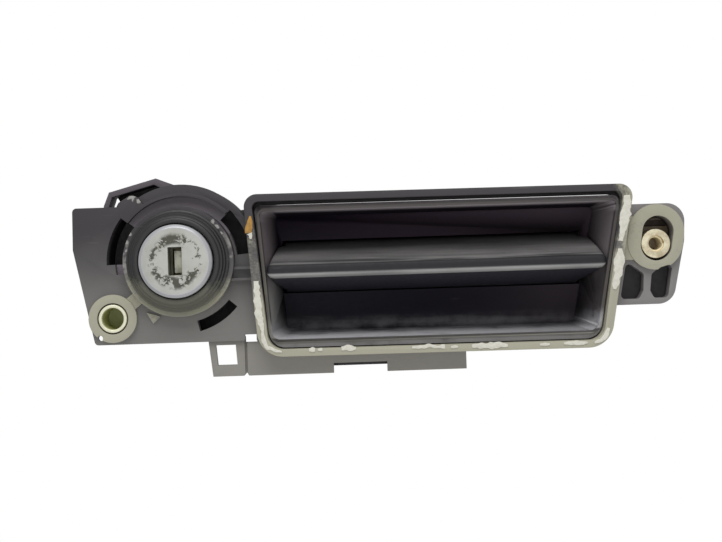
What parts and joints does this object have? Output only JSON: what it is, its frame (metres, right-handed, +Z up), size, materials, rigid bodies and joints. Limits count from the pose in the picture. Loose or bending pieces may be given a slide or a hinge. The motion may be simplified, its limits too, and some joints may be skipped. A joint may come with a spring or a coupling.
{
  "type": "car door handle",
  "caption": "Recessed car door handle with a pivoting pull blade, release linkage and a turning key lock on a moulded carrier bracket.",
  "frame": {"origin": "axis of the left mounting sleeve at the front face of its boss", "axes": "+X along the handle towards the ear with the floating nut, +Y into the door, +Z up; the outside of the car is on the -Y side"},
  "size_m": [0.1909, 0.0623, 0.0631],
  "materials": {
    "dark_plastic": "satin moulded, dusty",
    "black_plastic": "satin moulded",
    "blade_plastic": "satin moulded",
    "rubber": "matte",
    "lock_silver": "worn satin silver",
    "zinc_casting": "die-cast, satin",
    "yellow_zinc": "yellow zinc plated",
    "steel": "satin",
    "spring_steel": "dark drawn wire",
    "brass": "satin"
  },
  "bodies": {
    "housing": {"carrier_bracket": "dark_plastic", "grip_bowl": "black_plastic", "recess_gasket": "rubber", "bowl_screws": "steel", "mounting_sleeve": "yellow_zinc", "floating_nut": "yellow_zinc", "nut_cage": "steel", "lock_barrel": "zinc_casting", "lock_seal_ring": "rubber", "barrel_clip": "spring_steel", "shaft_bushes": "steel", "release_post": "steel", "rest_buffer": "rubber"},
    "blade": {"pull_blade": "blade_plastic", "blade_shaft": "steel", "crank_arm": "zinc_casting", "drive_pin": "steel", "shaft_circlips": "spring_steel", "return_spring": "spring_steel"},
    "release": {"release_lever": "zinc_casting", "lever_circlip": "spring_steel", "release_rod_clip": "black_plastic"},
    "plug": {"lock_plug": "zinc_casting", "lock_face_cap": "lock_silver", "wafer_tumblers": "brass", "lock_lever": "zinc_casting", "tail_circlip": "spring_steel", "lock_rod_clip": "black_plastic", "plug_spring": "spring_steel", "shutter_pin": "steel", "shutter_spring": "spring_steel"},
    "shutter": {"key_shutter": "steel"}
  },
  "joints": [
    {"name": "blade_lift", "type": "hinge", "parent": "housing", "child": "blade", "pos_m": [0.1, 0.027, 0.0144], "axis": [-1, 0, 0], "range_deg": [0, 18], "stiffness_Nm_per_rad": 0.05, "springref_deg": -22.92, "deforming": ["return_spring"]},
    {"name": "release_turn", "type": "hinge", "parent": "housing", "child": "release", "pos_m": [0.0435, 0.037, 0.03172], "axis": [1, 0, 0], "range_deg": [0, 14.6]},
    {"name": "plug_turn", "type": "hinge", "parent": "housing", "child": "plug", "pos_m": [0.0213, 0, 0.0171], "axis": [0, 1, 0], "range_deg": [-45, 45], "stiffness_Nm_per_rad": 0.01, "deforming": ["plug_spring"]},
    {"name": "shutter_swing", "type": "hinge", "parent": "plug", "child": "shutter", "pos_m": [0.0236, -0.0073, 0.0171], "axis": [0, 0, -1], "range_deg": [0, 75], "stiffness_Nm_per_rad": 0.00002, "springref_deg": -17.19, "deforming": ["shutter_spring"]}
  ],
  "couplings": [
    {"joint": "release_turn", "follows": "blade_lift", "ratio": 0.8024}
  ]
}
